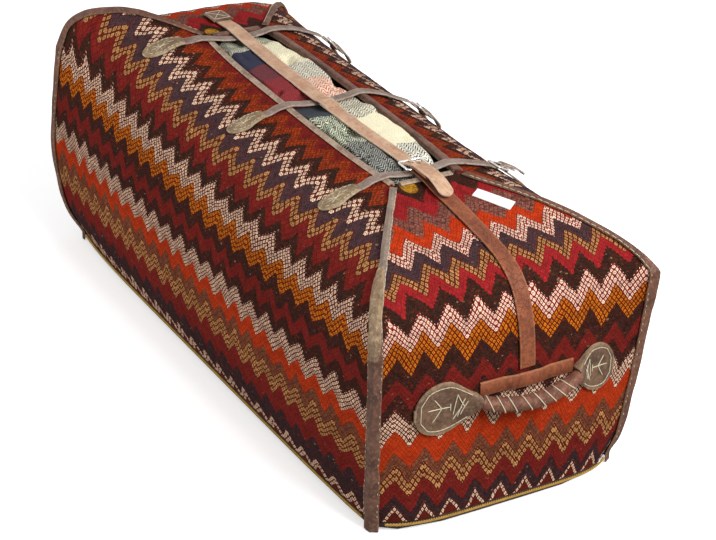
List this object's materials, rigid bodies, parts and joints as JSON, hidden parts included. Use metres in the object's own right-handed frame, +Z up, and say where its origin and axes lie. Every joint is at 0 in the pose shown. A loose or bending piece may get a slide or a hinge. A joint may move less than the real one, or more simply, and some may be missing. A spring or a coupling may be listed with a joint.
{
  "type": "kilim_bag",
  "caption": "Long kilim bedding bag with zigzag bands, leather-bound seams, buckled straps over an open mouth and a laced handle at each end",
  "frame": {"origin": "on the floor under the middle of the bag", "axes": "+X along the length towards the near handle, +Y to the back, +Z up"},
  "size_m": [1.2733, 0.5036, 0.4814],
  "materials": {
    "woven_wool": "coarse woven wool in zigzag bands of rust, crimson, cream, tan, orange and dark brown",
    "gold_cord": "twisted gold-coloured cord",
    "binding_leather": "worn grey-brown leather, stitched, matt",
    "tray_leather": "dark worn leather, matt",
    "bedding_cloth": "plain cotton bedding",
    "cream_blanket": "woven blanket, cream with patterned ends",
    "dark_blanket": "woven blanket, dark with patterned bands",
    "pale_strap_leather": "pale worn strap leather",
    "red_strap_leather": "red-brown strap leather, slightly shiny",
    "grey_strap_leather": "grey worn strap leather, matt",
    "patch_leather": "soft brown leather, matt, stitched",
    "grip_leather": "brown leather, rolled and laced",
    "nickel": "bright nickel plate, a little scratched",
    "tag_cloth": "white cotton tag"
  },
  "bodies": {
    "bag": {"back_panel": "woven_wool", "base_cord_back": "gold_cord", "base_cord_front": "gold_cord", "base_cord_left": "gold_cord", "base_cord_right": "gold_cord", "base_tray": "tray_leather", "bedding_filling": "bedding_cloth", "blanket_cream": "cream_blanket", "blanket_dark": "dark_blanket", "cloth_tag": "tag_cloth", "corner_binding_back_left": "binding_leather", "corner_binding_back_right": "binding_leather", "corner_binding_front_left": "binding_leather", "corner_binding_front_right": "binding_leather", "cross_far_buckle_frame": "nickel", "cross_far_chape": "grey_strap_leather", "cross_middle_buckle_frame": "nickel", "cross_middle_chape": "grey_strap_leather", "cross_near_buckle_frame": "nickel", "cross_near_chape": "grey_strap_leather", "cross_strap_far": "grey_strap_leather", "cross_strap_middle": "grey_strap_leather", "cross_strap_near": "grey_strap_leather", "front_panel": "woven_wool", "leaf_tab_far": "patch_leather", "leaf_tab_middle": "patch_leather", "leaf_tab_near": "patch_leather", "left_end_panel": "woven_wool", "left_handle_base": "red_strap_leather", "left_leaf_patch_back": "patch_leather", "left_leaf_patch_front": "patch_leather", "long_buckle_frame": "nickel", "long_strap_lower": "red_strap_leather", "long_strap_tab": "patch_leather", "long_strap_tongue": "pale_strap_leather", "long_strap_upper": "pale_strap_leather", "right_end_panel": "woven_wool", "right_handle_base": "red_strap_leather", "right_leaf_patch_back": "patch_leather", "right_leaf_patch_front": "patch_leather", "rim_binding_back": "binding_leather", "rim_binding_front": "binding_leather", "rim_binding_left": "binding_leather", "rim_binding_right": "binding_leather"},
    "right_grip": {"right_handle_grip": "grip_leather"},
    "left_grip": {"left_handle_grip": "grip_leather"},
    "long_prong": {"long_buckle_prong": "nickel"},
    "far_prong": {"cross_far_buckle_prong": "nickel"},
    "middle_prong": {"cross_middle_buckle_prong": "nickel"},
    "near_prong": {"cross_near_buckle_prong": "nickel"}
  },
  "joints": [
    {"name": "right_handle_swing", "type": "hinge", "parent": "bag", "child": "right_grip", "pos_m": [0.61218, 0.017, 0.21198], "axis": [0, -1, 0], "range_deg": [0, 85]},
    {"name": "left_handle_swing", "type": "hinge", "parent": "bag", "child": "left_grip", "pos_m": [-0.61205, -0.017, 0.22002], "axis": [0, 1, 0], "range_deg": [0, 85]},
    {"name": "long_prong_turn", "type": "hinge", "parent": "bag", "child": "long_prong", "pos_m": [0.303, 0, 0.44761], "axis": [0, 1, 0], "range_deg": [0, 15]},
    {"name": "far_prong_turn", "type": "hinge", "parent": "bag", "child": "far_prong", "pos_m": [-0.33904, 0.2092, 0.38806], "axis": [-0.9982, 0.0575, -0.0184], "range_deg": [0, 15]},
    {"name": "middle_prong_turn", "type": "hinge", "parent": "bag", "child": "middle_prong", "pos_m": [-0.0173, 0.2057, 0.3804], "axis": [-0.9993, 0.0246, -0.0274], "range_deg": [0, 15]},
    {"name": "near_prong_turn", "type": "hinge", "parent": "bag", "child": "near_prong", "pos_m": [0.29384, 0.16243, 0.41211], "axis": [-0.9947, -0.0997, 0.0256], "range_deg": [0, 15]}
  ]
}
